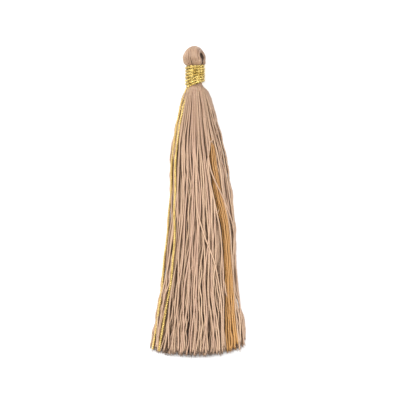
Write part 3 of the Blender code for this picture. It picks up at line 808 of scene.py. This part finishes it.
head_turn = np.linspace(0, HEAD_TWIST, HEAD_STEPS)[None] + ROUND * chance.random((HEAD_THREADS, 1))
# Threads on the inner side of the fold get painted shade, so the eye between the two halves looks dark.
head_tones = np.where(np.sin(angles) < EYE_SIDE, EYE_SHADE_TONE, tones(HEAD_THREADS, *HEAD_TONES))
head_threads = tube_piece("head_threads", [(head_paths, head_radius, across_eye, 8, head_turn)],
                          head_tones, SILK_OVAL)
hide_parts("head_loop")

# %% [markdown]
# ## The gold binding
#
# The metallic thread is two plies with a hard twist, wound tightly down the neck. The last turn slants
# down to the left and runs out among the silk. It is built as the real thread: a coil for the middle line
# and two plies that turn round it.

# %% Plied gold thread
GOLD_PLY_RADIUS = 0.185
GOLD_PLY_OFFSET = 0.15
GOLD_PLY_PITCH = 1.9
TAIL_PLY_RADIUS = 0.19
TAIL_PLY_OFFSET = 0.15
TAIL_PLY_PITCH = 1.2
COIL_RADIUS = 2.27
COIL_TURNS = 6.4
BINDING_HEIGHT = 5.25
BINDING_SLANT = 0.33
COIL_END = math.radians(150)
COIL_STEPS = 900
COIL_STEPS_A_TWIST, TAIL_STEPS_A_TWIST = 12, 8
# Tones of the plies of the two loose ends, inner end first: a paler tan, and on the outer end also painted
# light.
LOOSE_END_TONES = np.array([0.35, 0.35, 0.60, 0.60])


def resample(path, spacing):
    length = np.concatenate([[0], np.cumsum(np.linalg.norm(np.diff(path, axis=0), axis=1))])
    at = np.arange(0, length[-1], spacing)
    return np.stack([np.interp(at, length, path[:, k]) for k in range(3)], axis=1)


def plies_round(path, side, offset, radius, pitch):
    """Two plies round a middle line, as tube parts."""
    spacing = float(np.linalg.norm(path[1] - path[0]))
    _, first, second = frames_of(path[None], side[None])
    parts = []
    for ply in range(2):
        angle = 2 * math.pi * np.arange(len(path)) * spacing / pitch + math.pi * ply
        ring = np.cos(angle)[:, None] * first[0] + np.sin(angle)[:, None] * second[0]
        parts.append(((path + offset * ring)[None], np.full((1, len(path)), radius), first, 6, None))
    return parts


def slanted(x, y, z):
    down = np.clip((BINDING_TOP - y) / BINDING_HEIGHT, 0, 1)
    return np.stack([AXIS_X + x, y + BINDING_SLANT * x * down, AXIS_Z + z], axis=-1)


thread_room = GOLD_PLY_RADIUS + GOLD_PLY_OFFSET
angle = COIL_END - 2 * math.pi * COIL_TURNS * np.linspace(1, 0, COIL_STEPS)
fall = np.linspace(0, 1, COIL_STEPS)
coil_y = BINDING_TOP - thread_room - (BINDING_HEIGHT - 2 * thread_room) * fall
coil = slanted(COIL_RADIUS * np.cos(angle), coil_y, COIL_RADIUS * np.sin(angle))
coil = resample(coil, GOLD_PLY_PITCH / COIL_STEPS_A_TWIST)
outward_of_coil = coil - np.array([AXIS_X, 0, AXIS_Z])
outward_of_coil[:, 1] = 0
tail_parts = []
for path in gold_paths:
    middle_line = resample(path, TAIL_PLY_PITCH / TAIL_STEPS_A_TWIST)
    side = np.tile(SIDEWAYS, (len(middle_line), 1))
    tail_parts += plies_round(middle_line, side, TAIL_PLY_OFFSET, TAIL_PLY_RADIUS, TAIL_PLY_PITCH)
binding_parts = plies_round(coil, outward_of_coil, GOLD_PLY_OFFSET, GOLD_PLY_RADIUS, GOLD_PLY_PITCH)
gold_binding = tube_piece("gold_binding", binding_parts, np.zeros(2))
gold_ends = tube_piece("gold_ends", tail_parts, LOOSE_END_TONES)
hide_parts("binding")
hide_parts("binding")

# %% [markdown]
# ## The turns underneath
#
# Fine thread is commonly wound in two layers, and one is taken to lie under the outer turns. A second coil
# would hardly be seen, so a sleeve with a ridge for each turn stands for that layer. Its dark gold is
# painted shade in the gaps between the outer turns.

# %% The layer of turns under the outer one
SLEEVE_RADIUS, SLEEVE_RIDGE, SLEEVE_TURNS = 2.26, 0.05, 7
SLEEVE_INSET = 0.15
SLEEVE_SIDES, ROWS_A_TURN = 40, 6
# Tone below zero: the sleeve is darkened with painted shade.
SLEEVE_SHADE_TONE = -0.8


def sleeve():
    rows = SLEEVE_TURNS * ROWS_A_TURN + 1
    turn = np.arange(SLEEVE_SIDES) / SLEEVE_SIDES * 2 * math.pi
    points, faces = [], []
    for row in range(rows):
        reach = SLEEVE_RADIUS + SLEEVE_RIDGE * math.cos(2 * math.pi * row / ROWS_A_TURN)
        y = BINDING_TOP - SLEEVE_INSET - (BINDING_HEIGHT - 2 * SLEEVE_INSET) * row / (rows - 1)
        points += slanted(reach * np.cos(turn), y, reach * np.sin(turn)).tolist()
    for row in range(rows - 1):
        for side in range(SLEEVE_SIDES):
            near, far = row * SLEEVE_SIDES + side, row * SLEEVE_SIDES + (side + 1) % SLEEVE_SIDES
            faces.append((near, far, far + SLEEVE_SIDES, near + SLEEVE_SIDES))
    faces.append(list(range(SLEEVE_SIDES))[::-1])
    faces.append(list(range((rows - 1) * SLEEVE_SIDES, rows * SLEEVE_SIDES)))
    return points, faces


sleeve_points, sleeve_faces = sleeve()
sleeve_corners = sum(len(face) for face in sleeve_faces)
sleeve_places = np.full((sleeve_corners, 3), SLEEVE_SHADE_TONE)
under_turns = new_piece("under_turns", sleeve_points, sleeve_faces, sleeve_places)
print("turns of gold thread:", COIL_TURNS)

# %% [markdown]
# ## Shader maths in plain Python
#
# A Wire stands for one output socket. Adding or multiplying Wires adds Math nodes, so a formula can be
# read as one.

# %% A small language for shaders
class Wire:
    """An output socket with the arithmetic of a number."""

    def __init__(self, paint, socket):
        self.paint = paint
        self.socket = socket

    def math(self, operation, *values):
        node = self.paint.add("ShaderNodeMath", {"operation": operation}, dict(enumerate(values)))
        return Wire(self.paint, node.outputs[0])

    def __add__(self, other):
        return self.math("ADD", self, other)

    def __sub__(self, other):
        return self.math("SUBTRACT", self, other)

    def __rsub__(self, other):
        return self.math("SUBTRACT", other, self)

    def __mul__(self, other):
        return self.math("MULTIPLY", self, other)

    def __pow__(self, other):
        return self.math("POWER", self, other)

    def sine(self):
        return self.math("SINE", self)

    def absolute(self):
        return self.math("ABSOLUTE", self)

    def fraction(self):
        return self.math("FRACT", self)

    def at_least(self, least):
        return self.math("MAXIMUM", self, least)

    __radd__ = __add__
    __rmul__ = __mul__


class Paint:
    """One material and its nodes."""

    def __init__(self, name):
        self.material = bpy.data.materials.new(name)
        self.material.use_nodes = True
        self.tree = self.material.node_tree
        self.shader = self.tree.nodes["Principled BSDF"]

    def add(self, kind, settings=None, inputs=None):
        """A node of any kind: its settings are set first, then its sockets."""
        node = self.tree.nodes.new(kind)
        for name, value in (settings or {}).items():
            setattr(node, name, value)
        for name, value in (inputs or {}).items():
            self.feed(node.inputs[name], value)
        return node

    def feed(self, socket, value):
        if isinstance(value, Wire):
            self.tree.links.new(value.socket, socket)
        elif isinstance(value, bpy.types.NodeSocket):
            self.tree.links.new(value, socket)
        else:
            socket.default_value = value

    def mix(self, share, first, second):
        node = self.add("ShaderNodeMix", {"data_type": "RGBA"}, {0: share, 6: first, 7: second})
        return Wire(self, node.outputs[2])

    def noise(self, scale):
        """Soft patches that vary in space."""
        position = self.add("ShaderNodeNewGeometry").outputs["Position"]
        inputs = {"Scale": scale, "Detail": 1.0, "Vector": position}
        return Wire(self, self.add("ShaderNodeTexNoise", None, inputs).outputs["Fac"])

    def place(self):
        """Round, along and tone, as the tubes carry them."""
        attribute = self.add("ShaderNodeAttribute", {"attribute_name": "place"})
        parts = self.add("ShaderNodeSeparateXYZ", None, {0: attribute.outputs["Vector"]})
        return [Wire(self, output) for output in parts.outputs]

    def bump(self, height, distance, strength):
        inputs = {"Height": height, "Distance": distance, "Strength": strength}
        node = self.add("ShaderNodeBump", None, inputs)
        self.feed(self.shader.inputs["Normal"], node.outputs[0])

    def constants(self, **values):
        for name, value in values.items():
            self.shader.inputs[name.replace("_", " ")].default_value = value


def colour(red, green, blue):
    """A screen colour from 0 to 255 as the linear colour that a shader takes."""
    parts = []
    for value in (red, green, blue):
        value /= 255
        parts.append(value / 12.92 if value <= 0.04045 else ((value + 0.055) / 1.055) ** 2.4)
    return (*parts, 1.0)


# %% [markdown]
# ## Silk
#
# Each thread gets a painted highlight along its crest and painted shade on its sides. Its colour changes
# from thread to thread and slowly along each one. Painted shade darkens it for some millimetres from its
# root, below the binding. The two plies give a bump that runs round the thread at a slant, with painted
# shade in the grooves between them.

# %% Silk materials
PLY_PITCH = 0.80
SILK_PATCHES = 160.0
CREST_SHARPNESS = 1.6
PAINTED_SIDE_SHADE, PAINTED_ROOT_SHADE, PLY_GROOVE_SHADE = 0.85, 0.42, 0.2
WARM_SHARE, WARM_SHUFFLE = 0.5, 37.7
SILK_ROUGHNESS, SILK_ROUGHNESS_SPREAD = 0.34, 0.14
SILK_BUMP, SILK_BUMP_STRENGTH = 0.00005, 0.8


def silk(name, pale, plain, painted_shade, shaded, warm, root_shade_length):
    """Silk of five colours, with painted shade on each thread's sides, in its ply grooves and near its
    root.
    """
    paint = Paint(name)
    around, along, tone = paint.place()
    slow = paint.noise(SILK_PATCHES)
    shade = tone * 0.7 + slow * 0.6 - 0.15
    # Painted highlight along the top and bottom of each tube, painted shade on its two sides.
    crest = (around * (2 * math.pi)).sine().absolute() ** CREST_SHARPNESS
    base = paint.mix(shade, colour(*plain), colour(*pale))
    base = paint.mix((tone * WARM_SHUFFLE).fraction() * WARM_SHARE, base, colour(*warm))
    base = paint.mix((1 - crest) * PAINTED_SIDE_SHADE, base, colour(*painted_shade))
    # Painted shade near the root, below the binding, fading out over the given millimetres.
    base = paint.mix((1 - along * (1 / root_shade_length)).at_least(0) * PAINTED_ROOT_SHADE, base, colour(*painted_shade))
    # Tones below zero mix in painted shade: the skirt's inner threads and the inner side of the fold.
    base = paint.mix(0 - tone, base, colour(*shaded))
    ply = ((around - along * (1 / PLY_PITCH)) * (2 * math.pi)).sine().absolute()
    # Painted shade in the grooves between the plies.
    base = paint.mix((1 - ply) * PLY_GROOVE_SHADE, base, colour(*painted_shade))
    paint.feed(paint.shader.inputs["Base Color"], base)
    paint.feed(paint.shader.inputs["Roughness"], SILK_ROUGHNESS + slow * SILK_ROUGHNESS_SPREAD)
    paint.bump(ply, SILK_BUMP, SILK_BUMP_STRENGTH)
    paint.constants(Sheen_Weight=0.15, Sheen_Roughness=0.4, Specular_IOR_Level=0.55)
    return paint.material


beige_silk = silk("beige_silk_look", pale=(209, 177, 144), plain=(166, 134, 106), painted_shade=(100, 70, 46),
                  shaded=(54, 32, 17), warm=(178, 139, 122), root_shade_length=24)
ochre_silk = silk("ochre_silk_look", pale=(200, 150, 84), plain=(176, 127, 66), painted_shade=(128, 86, 40),
                  shaded=(70, 42, 16), warm=(162, 114, 56), root_shade_length=60)
for piece in (*skirt_threads, skirt_fray, head_threads):
    piece.data.materials.append(beige_silk)
for piece in (ochre_threads, ochre_fray):
    piece.data.materials.append(ochre_silk)
print("silk materials:", beige_silk.name, ochre_silk.name)

# %% [markdown]
# ## Gold thread
#
# The gold is a thin foil strip wrapped round a core. Each wrap is a tiny mirror at its own angle, so the
# thread glints in points instead of in one long highlight. Painted shade darkens the grooves between the
# wraps, and tones below zero darken the sleeve under the coil with painted shade. The two loose ends are a
# paler tan and less of a mirror than the binding; the outer one is paler still, painted light where it
# lies at the bright edge of the skirt.

# %% Gold material
WRAPS_A_MM = 2.5
GLINTS, GOLD_PATCHES = 2400.0, 900.0
WRAP_GROOVE_SHADE = 0.3
GOLD_ROUGHNESS, GLINT_ROUGHNESS, END_ROUGHNESS = 0.16, 0.30, 0.45
FOIL_HEIGHT, GLINT_HEIGHT, GOLD_BUMP = 0.4, 1.3, 0.00008
gold = Paint("gold_thread_look")
around, along, tone = gold.place()
foil = ((around + along * WRAPS_A_MM) * (2 * math.pi)).sine()
glint = gold.noise(GLINTS)
patch = gold.noise(GOLD_PATCHES)
base = gold.mix(patch * 2 - 0.5, colour(172, 142, 64), colour(244, 220, 142))
# Painted shade in the grooves between the foil wraps, where the bump is lowest.
base = gold.mix((0.5 - foil * 0.5) * WRAP_GROOVE_SHADE, base, colour(118, 90, 32))
# The loose ends mix toward a pale tan: their own colour, and on the outer end also painted light.
base = gold.mix(tone, base, colour(226, 198, 134))
# Tones below zero mix in painted shade, as on the sleeve under the coil.
base = gold.mix(0 - tone, base, colour(84, 66, 20))
gold.feed(gold.shader.inputs["Base Color"], base)
roughness = GOLD_ROUGHNESS + glint * GLINT_ROUGHNESS + tone.at_least(0) * END_ROUGHNESS
gold.feed(gold.shader.inputs["Roughness"], roughness)
gold.bump(foil * FOIL_HEIGHT + glint * GLINT_HEIGHT, GOLD_BUMP, 1.0)
gold.constants(Metallic=0.85, Specular_IOR_Level=0.6)
for piece in (gold_binding, gold_ends, under_turns):
    piece.data.materials.append(gold.material)
print("gold material:", gold.material.name)

# %% [markdown]
# ## Floor, light and camera
#
# The tassel lies on a white table and is photographed from straight above. Two broad lamps, one at each
# side, light the threads across their length, so the crests shine and the slits between them stay dark. A
# weaker lamp overhead and a bright room soften the shadows until hardly any is left on the table.

# %% Stage
HALF_FLOOR = 0.6
ROOM_LIGHT = 0.42
floor_corners = [(x * HALF_FLOOR, y * HALF_FLOOR, 0) for x, y in ((-1, -1), (1, -1), (1, 1), (-1, 1))]
floor_mesh = bpy.data.meshes.new("floor")
floor_mesh.from_pydata(floor_corners, [], [(0, 1, 2, 3)])
floor = bpy.data.objects.new("floor", floor_mesh)
bpy.context.scene.collection.objects.link(floor)
white = Paint("white_table")
white.constants(Base_Color=(0.93, 0.93, 0.93, 1.0), Roughness=0.9, Specular_IOR_Level=0.1)
floor_mesh.materials.append(white.material)

world = bpy.data.worlds.new("bright_room")
bpy.context.scene.world = world
world.use_nodes = True
background = world.node_tree.nodes["Background"].inputs
background["Color"].default_value = (1.0, 1.0, 1.0, 1.0)
background["Strength"].default_value = ROOM_LIGHT
print("table and room:", floor.name, world.name)

# %% Lamps
def soft_lamp(name, size, power, place):
    lamp = bpy.data.lights.new(name, "AREA")
    lamp.shape = "SQUARE"
    lamp.size = size
    lamp.energy = power
    thing = bpy.data.objects.new(name, lamp)
    thing.location = place
    thing.rotation_euler = Vector([-value for value in place]).to_track_quat("-Z", "Y").to_euler()
    bpy.context.scene.collection.objects.link(thing)
    print(name, "watts:", power)


soft_lamp("left_lamp", size=0.25, power=4.0, place=(-0.42, 0.14, 0.40))
soft_lamp("right_lamp", size=0.25, power=3.2, place=(0.42, 0.06, 0.40))
soft_lamp("top_lamp", size=0.20, power=0.9, place=(-0.06, 0.10, 0.60))

# %% Camera
CAMERA_HEIGHT = 0.6
HEAP_HEIGHT = 0.003
VIEW_WIDTH = 0.1029
SENSOR_WIDTH = 36
camera_data = bpy.data.cameras.new("camera")
camera_data.sensor_width = SENSOR_WIDTH
camera_data.lens = SENSOR_WIDTH * (CAMERA_HEIGHT - HEAP_HEIGHT) / VIEW_WIDTH
camera_data.clip_start = 0.01
camera = bpy.data.objects.new("camera", camera_data)
camera.location = (0.00064, 0.00026, CAMERA_HEIGHT)
bpy.context.scene.collection.objects.link(camera)
bpy.context.scene.camera = camera
bpy.context.scene.view_settings.view_transform = "Standard"
print("view across the table: %.1f mm" % (VIEW_WIDTH / MM))
